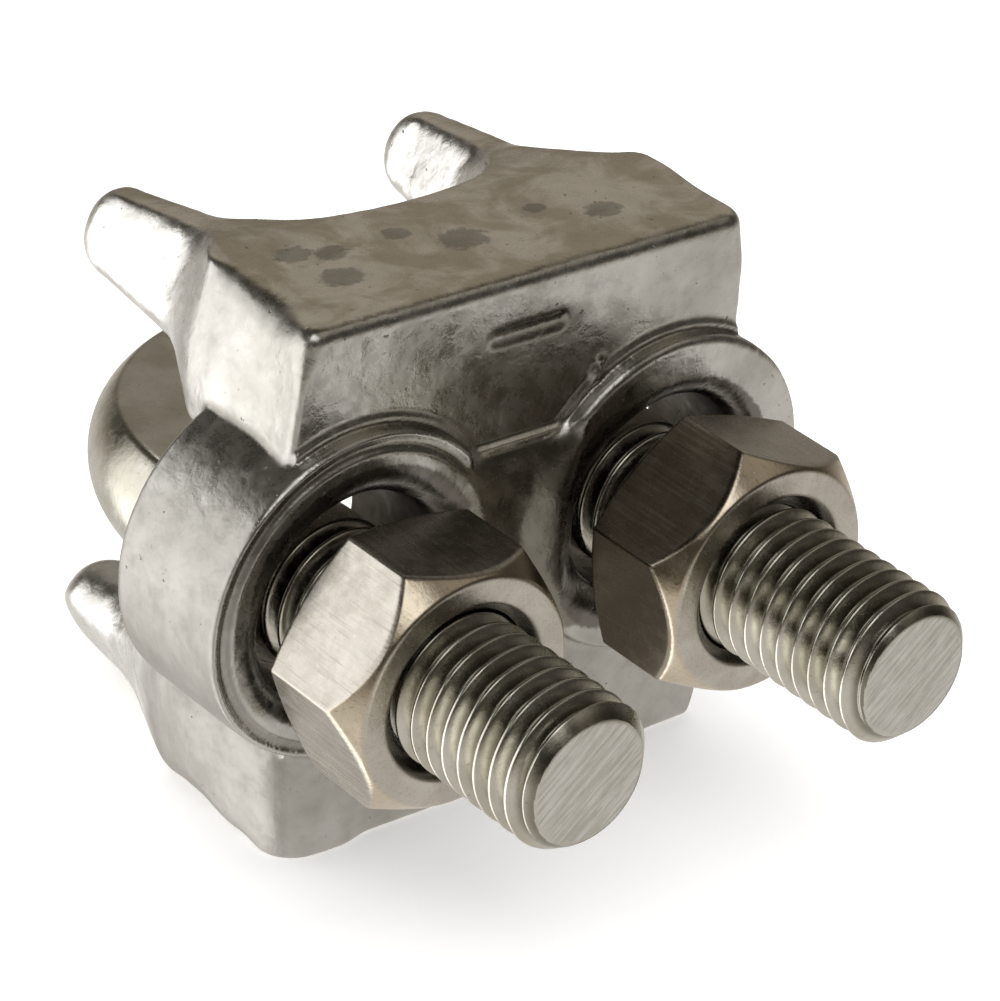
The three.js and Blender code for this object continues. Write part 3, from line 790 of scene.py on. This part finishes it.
def casting_material():
    """Cast stainless steel: mottled, brown on its end faces, dark in its corners, with painted shade down its
    holes, between its bosses and on its lower front and left side, a painted highlight on the lip and a
    painted reflection on the horns.
    """
    n = Material("cast_stainless")
    tone = n.noise(9, 3)
    mottle = n.noise(1.8, 6, 0.62, warp=0.5)
    colour = n.mix(n.ramp(tone, 0.35, 0.65), CAST_DULL, CAST_PALE)
    colour = n.cover(colour, n.ramp(mottle, 0.5, 0.72), 0.4, CAST_MOTTLE)
    # Brown-grey end faces with round heat stains.
    ends = n.value("end_face")
    brown = n.mix(n.ramp(n.noise(6, 5, 0.6, warp=0.6), 0.4, 0.62), END_BROWN, END_TAN)
    ragged = n.math("MULTIPLY_ADD", n.noise(0.9, 5, 0.7), 0.9, -0.45)
    stain = n.ramp(n.math("MULTIPLY_ADD", ragged, 1.5, n.value("stain")), 0.3, 0.62)
    brown = n.cover(brown, stain, 0.55, HEAT_STAIN)
    colour = n.mix(ends, colour, brown)
    # Bright worn edges and dark oxide in the corners; painted shade between the bosses and down the holes.
    convex = n.value("convex")
    worn = n.ramp(n.math("MULTIPLY_ADD", ragged, 0.15, convex), 0.1, 0.4)
    colour = n.cover(colour, worn, 0.45, WORN_EDGE)
    hollow = n.ramp(n.math("MULTIPLY_ADD", ragged, 0.1, convex), -0.3, -0.05, 1.0, 0.0)
    colour = n.cover(colour, hollow, 0.7, CORNER_OXIDE)
    # Painted shade on the web between the bosses.
    recess_shade = n.ramp(n.math("MULTIPLY_ADD", ragged, 0.5, n.value("recess_shade")), 0.1, 1.0)
    colour = n.cover(colour, recess_shade, 0.9, RECESS_SHADE)
    # Painted shade on the lower front and the left side.
    colour = n.cover(colour, n.value("shaded_dull_side"), 0.85, SIDE_SHADE)
    # Painted reflection: a paler, even colour on the horns, away from their end faces.
    horn_reflection = n.math("MULTIPLY", n.value("horn"), n.math("SUBTRACT", 1.0, ends))
    colour = n.cover(colour, horn_reflection, 0.7, PAINTED_HORN_REFLECTION)
    dark = n.ramp(n.math("MULTIPLY_ADD", ragged, 0.6, n.value("patina")), 0.1, 0.9)
    colour = n.cover(colour, dark, 0.72, PATINA)
    # A painted highlight along the lip.
    lip = n.math("MULTIPLY", n.value("lip"), n.ramp(ragged, -0.3, 0.0))
    colour = n.cover(colour, lip, 0.85, LIP_HIGHLIGHT)
    # Painted shade down the leg holes.
    bore = n.ramp(n.math("ADD", n.value("bore"), ragged), -0.15, 0.25)
    colour = n.cover(colour, bore, 0.85, BORE_SHADE)
    spread = n.math("MULTIPLY", n.ramp(n.noise(6, 2), 0.35, 0.7), 0.06)
    pits = n.ramp(n.math("ADD", n.noise(0.8, 3, 0.6), spread), 0.72, 0.79)
    colour = n.cover(colour, pits, 0.7, PIT_OXIDE)
    rough = n.ramp(n.noise(2.5, 6, 0.7), 0.3, 0.75, 0.17, 0.4)
    rough = n.math("MULTIPLY_ADD", n.value("shaded_dull_side"), 0.2, rough)
    normal = n.bump(n.noise(1.4, 4, 0.5, warp=0.4), 0.07)
    normal = n.bump(n.noise(0.3, 3), 0.008, normal)
    normal = n.bump(n.math("SUBTRACT", 1.0, pits), 0.06, normal)
    return n.finish(colour, rough, normal)


def bar_material():
    """Drawn stainless bar: dark in the thread, bright and sawn on the leg ends."""
    n = Material("bar_stainless")
    colour = n.mix(n.ramp(n.noise(6, 3), 0.35, 0.65), BAR_DULL, BAR_PALE)
    hollow = n.ramp(n.value("groove"), 0.35, 0.95)
    colour = n.cover(colour, hollow, 0.75, THREAD_OXIDE)
    specks = n.ramp(n.noise(0.6, 4, 0.7), 0.62, 0.72)
    colour = n.cover(colour, specks, 0.5, SPECK)
    rough = n.ramp(n.noise(1.2, 5, 0.7), 0.3, 0.75, 0.13, 0.32)
    # The sawn ends of the legs are paler, with straight saw lines across them.
    cut = n.value("cut_end")
    saw = n.noise(0.35, 5, 0.75, stretch=(1.0, 0.1, 0.06), warp=0.3, turn=50)
    pale = n.mix(n.ramp(saw, 0.4, 0.62), SAWN_DULL, SAWN_PALE)
    colour = n.cover(colour, cut, 0.9, pale)
    rough = n.math("MULTIPLY_ADD", cut, 0.12, rough)
    scratches = n.noise(0.22, 4, 0.7, warp=2.0)
    normal = n.bump(n.noise(0.7, 4), 0.02)
    normal = n.bump(scratches, 0.006, normal)
    normal = n.bump(n.math("MULTIPLY", saw, cut), 0.03, normal)
    return n.finish(colour, rough, normal)


def nut_material():
    """Machined stainless steel: painted shade on some flats, bronze cone, worn corners."""
    n = Material("nut_stainless")
    cloud = n.noise(4.5, 5, 0.6, warp=0.8)
    colour = n.mix(n.ramp(cloud, 0.34, 0.7), NUT_DULL, NUT_PALE)
    streak = n.noise(0.3, 5, 0.7, stretch=(1, 0.04, 1))
    ragged = n.math("MULTIPLY_ADD", cloud, 0.5, -0.25)
    # Painted shade on some flats of the nuts.
    tone = n.math("MULTIPLY_ADD", n.ramp(streak, 0.3, 0.7), 0.25, n.value("tone"))
    tone = n.math("MULTIPLY", n.math("ADD", tone, ragged), n.ramp(n.value("tone"), 0.0, 0.05))
    colour = n.mix(n.ramp(tone, 0.0, 1.0), colour, FLAT_SHADE)
    cone = n.value("cone")
    colour = n.cover(colour, cone, 0.8, CONE_BRONZE)
    colour = n.cover(colour, n.ramp(streak, 0.52, 0.72), 0.38, STREAK)
    worn = n.ramp(n.value("convex"), 0.2, 0.8)
    colour = n.cover(colour, worn, 0.6, WORN_CORNER)
    inside = n.value("inside")
    colour = n.cover(colour, inside, 0.8, NUT_BORE)
    rough = n.ramp(n.noise(1.6, 5, 0.65), 0.3, 0.75, 0.2, 0.34)
    rough = n.math("MULTIPLY_ADD", cone, -0.06, rough)
    normal = n.bump(streak, 0.016)
    normal = n.bump(n.noise(0.5, 3), 0.006, normal)
    return n.finish(colour, rough, normal)


# ---- The clip ----

casting = casting_material()
bar = bar_material()
nut = nut_material()
pieces = (
    (build_saddle(), "saddle", "cast_stainless", casting),
    (build_bolt(), "u_bolt", "bar_stainless", bar),
    (build_nut("left"), "nut_left", "nut_stainless", nut),
    (build_nut("right"), "nut_right", "nut_stainless", nut),
)
# Each body has one CAD node, which has the body's name.
for piece, body, slot, material in pieces:
    piece.data.materials.append(material)
    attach(piece, body)
    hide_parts(body)


# ---- Studio: pale floor, soft light and camera ----

# Brightness of the room above the horizon and of the ground below it.
WORLD_ROOM = 0.06
WORLD_GROUND = 0.7
# Soft panels: azimuths and elevations in degrees, softness in degrees, added brightness.
WORLD_PANELS = (
    ((-105, -22), (-80, 29), 7, 1.5),
    ((5, 82), (8, 50), 12, 0.23),
    ((100, 165), (40, 70), 12, 0.3),
    ((-178, -120), (42, 75), 12, 1.5),
)
DIM_COLOUR = (1.0, 0.9, 0.76)
BRIGHT_COLOUR = (1.0, 0.985, 0.96)
# The floor and the light above it, in metres and watts.
FLOOR_HALF = 1.5
LIGHT_HEIGHT = 1.2
LIGHT_BACK = 0.1
LIGHT_SIZE = 2.6
LIGHT_POWER = 40
# Where the camera looks, in degrees: azimuth from +Y towards +X, how far down, and its roll.
CAMERA_AZIMUTH = 42.37
CAMERA_DOWN = 29.14
CAMERA_ROLL = 6.04
# The point in the middle of the view, from the left leg's end and the leg axes, and how far away it is, in
# millimetres.
CAMERA_TARGET = (-11.92, 20.0, 14.67)
CAMERA_DISTANCE = 377.1
CAMERA_LENS = 165.23


def build_floor():
    half = FLOOR_HALF
    mesh = bpy.data.meshes.new("studio_floor")
    corners = [(-half, -half, 0), (half, -half, 0), (half, half, 0), (-half, half, 0)]
    mesh.from_pydata(corners, [], [(0, 1, 2, 3)])
    floor = bpy.data.objects.new("studio_floor", mesh)
    bpy.context.scene.collection.objects.link(floor)
    n = Material("studio_floor")
    n.shader.inputs["Metallic"].default_value = 0.0
    n.shader.inputs["Base Color"].default_value = (0.8, 0.8, 0.8, 1)
    n.shader.inputs["Emission Color"].default_value = (1, 1, 1, 1)
    n.shader.inputs["Emission Strength"].default_value = 0.4
    n.shader.inputs["Roughness"].default_value = 0.9
    n.shader.inputs["Specular IOR Level"].default_value = 0.1
    mesh.materials.append(n.material)
    floor.visible_glossy = False


def build_overhead_light():
    """A wide soft light above the clip that lights the floor, and isn't seen in the metal."""
    light = bpy.data.lights.new("overhead", "AREA")
    light.shape = "RECTANGLE"
    light.size, light.size_y = LIGHT_SIZE, LIGHT_SIZE
    light.energy = LIGHT_POWER
    lamp = bpy.data.objects.new("overhead", light)
    bpy.context.scene.collection.objects.link(lamp)
    lamp.location = (0, LIGHT_BACK, LIGHT_HEIGHT)
    lamp.rotation_euler = (-lamp.location).to_track_quat("-Z", "Y").to_euler()
    lamp.visible_glossy = False


def build_world():
    """A dim warm room with a bright ground and soft bright panels, which the metal reflects."""
    world = bpy.data.worlds.new("studio")
    bpy.context.scene.world = world
    world.use_nodes = True
    world.cycles.sampling_method = "NONE"
    n = Nodes(world.node_tree)

    def within(value, low, high, soft):
        """1 between low and high, with soft edges."""
        past_low = n.ramp(value, low - soft, low + soft)
        return n.math("MULTIPLY", past_low, n.ramp(value, high + soft, high - soft))

    towards = n.new("ShaderNodeSeparateXYZ")
    n.link(n.new("ShaderNodeTexCoord").outputs["Generated"], towards.inputs[0])
    # Azimuth from +Y towards +X, and elevation, both in degrees.
    around = n.math("ARCTAN2", towards.outputs["X"], towards.outputs["Y"])
    azimuth = n.math("MULTIPLY", around, math.degrees(1))
    elevation = n.math("MULTIPLY", n.math("ARCSINE", towards.outputs["Z"]), math.degrees(1))
    level = n.math("MULTIPLY_ADD", n.ramp(elevation, 12, -25), WORLD_GROUND - WORLD_ROOM, WORLD_ROOM)
    for azimuths, elevations, soft, strength in WORLD_PANELS:
        panel = n.math("MULTIPLY", within(azimuth, *azimuths, soft), within(elevation, *elevations, soft))
        level = n.math("MULTIPLY_ADD", panel, strength, level)
    background = n.tree.nodes["Background"]
    n.link(n.mix(n.ramp(level, 0.15, 1.0), DIM_COLOUR, BRIGHT_COLOUR), background.inputs["Color"])
    n.link(level, background.inputs["Strength"])


def build_camera():
    """The photo's view, with a long lens from the front left and above."""
    azimuth, down, roll = (math.radians(a) for a in (CAMERA_AZIMUTH, CAMERA_DOWN, CAMERA_ROLL))
    level_share = math.cos(down)
    ahead = np.array((math.sin(azimuth) * level_share, math.cos(azimuth) * level_share, -math.sin(down)))
    level = np.array((math.cos(azimuth), -math.sin(azimuth), 0))
    upright = np.cross(level, ahead)
    right = level * math.cos(roll) + upright * math.sin(roll)
    up = -level * math.sin(roll) + upright * math.cos(roll)
    target = np.array(CAMERA_TARGET) + (0, DEPTH_ZERO, LEG_Z)
    place = (target - ahead * CAMERA_DISTANCE) * MM
    camera = bpy.data.objects.new("camera", bpy.data.cameras.new("camera"))
    bpy.context.scene.collection.objects.link(camera)
    camera.matrix_world = Matrix((
        (right[0], up[0], -ahead[0], place[0]),
        (right[1], up[1], -ahead[1], place[1]),
        (right[2], up[2], -ahead[2], place[2]),
        (0, 0, 0, 1),
    ))
    camera.data.sensor_fit = "HORIZONTAL"
    camera.data.sensor_width = 36
    camera.data.lens = CAMERA_LENS
    camera.data.clip_start = 0.01
    bpy.context.scene.camera = camera


build_floor()
build_world()
build_overhead_light()
build_camera()
bpy.context.scene.view_settings.view_transform = "Standard"
